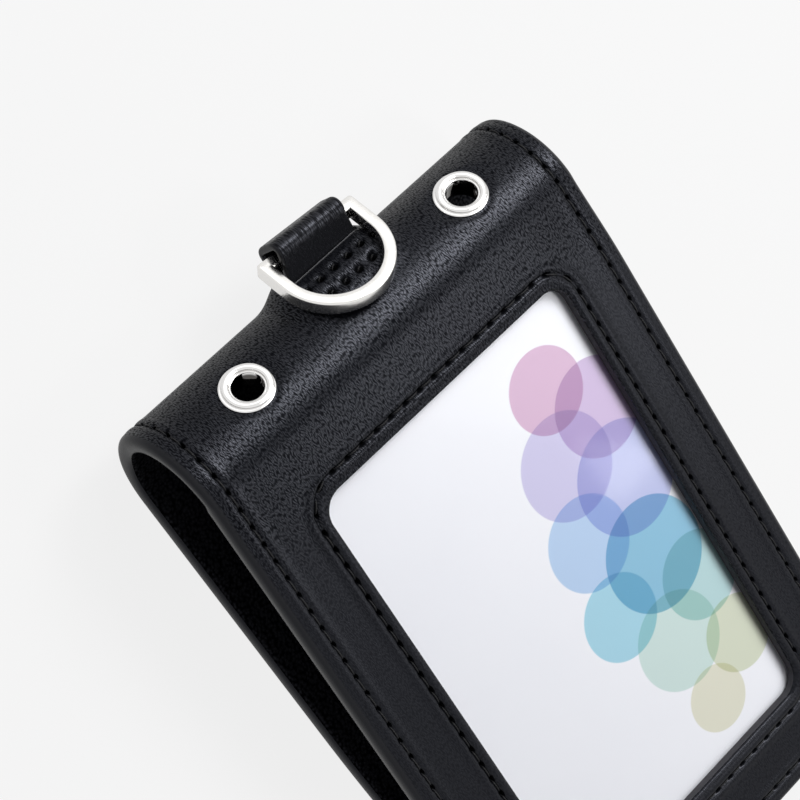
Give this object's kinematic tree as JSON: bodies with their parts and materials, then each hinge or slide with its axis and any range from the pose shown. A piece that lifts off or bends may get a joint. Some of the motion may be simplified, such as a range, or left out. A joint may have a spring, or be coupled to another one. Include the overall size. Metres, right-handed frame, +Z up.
{
  "type": "id badge wallet",
  "caption": "Folded black leather badge wallet: clear window over an ID card, metal eyelets on the fold and a strap-held D-ring for a lanyard.",
  "frame": {"origin": "on the table, under the middle of the closed wallet's box", "axes": "+X across the wallet to the card's right, +Y along it towards the fold, +Z up out of the window"},
  "size_m": [0.072, 0.1184, 0.0245],
  "materials": {
    "cover_leather": "fine pebble grain, satin",
    "lining_leather": "smooth satin",
    "strap_leather": "fine pebble grain, satin",
    "filler_board": "matt",
    "clear_film": "clear gloss",
    "card_plastic": "printed, semi-gloss",
    "bright_nickel": "mirror bright",
    "satin_nickel": "satin bright"
  },
  "bodies": {
    "front": {"front_cover": "cover_leather", "spine_cover": "cover_leather", "spine_lining": "lining_leather", "shoulder_lining": "lining_leather", "window_film": "clear_film", "pocket_filler": "filler_board", "pocket_lining": "lining_leather", "strap_loop": "strap_leather", "eyelet_front_left": "bright_nickel", "eyelet_front_right": "bright_nickel", "washer_front_left": "bright_nickel", "washer_front_right": "bright_nickel"},
    "back": {"back_cover": "cover_leather", "back_lining": "lining_leather", "eyelet_back_left": "bright_nickel", "eyelet_back_right": "bright_nickel", "washer_back_left": "bright_nickel", "washer_back_right": "bright_nickel"},
    "ring": {"d_ring": "satin_nickel"},
    "card": {"id_card": "card_plastic"}
  },
  "joints": [
    {"name": "cover_hinge", "type": "hinge", "parent": "front", "child": "back", "pos_m": [0, 0.04995, 0.01188], "axis": [1, 0, 0], "range_deg": [0, 75], "deforming": ["spine_cover", "spine_lining"]},
    {"name": "ring_swing", "type": "hinge", "parent": "front", "child": "ring", "pos_m": [0.00082, 0.05594, 0.01434], "axis": [-0.9978, 0.0659, 0.007], "range_deg": [0, 190]},
    {"name": "card_slide", "type": "slide", "parent": "front", "child": "card", "axis": [0, 0.9943, 0.1063], "range_m": [0, 0.006]}
  ]
}
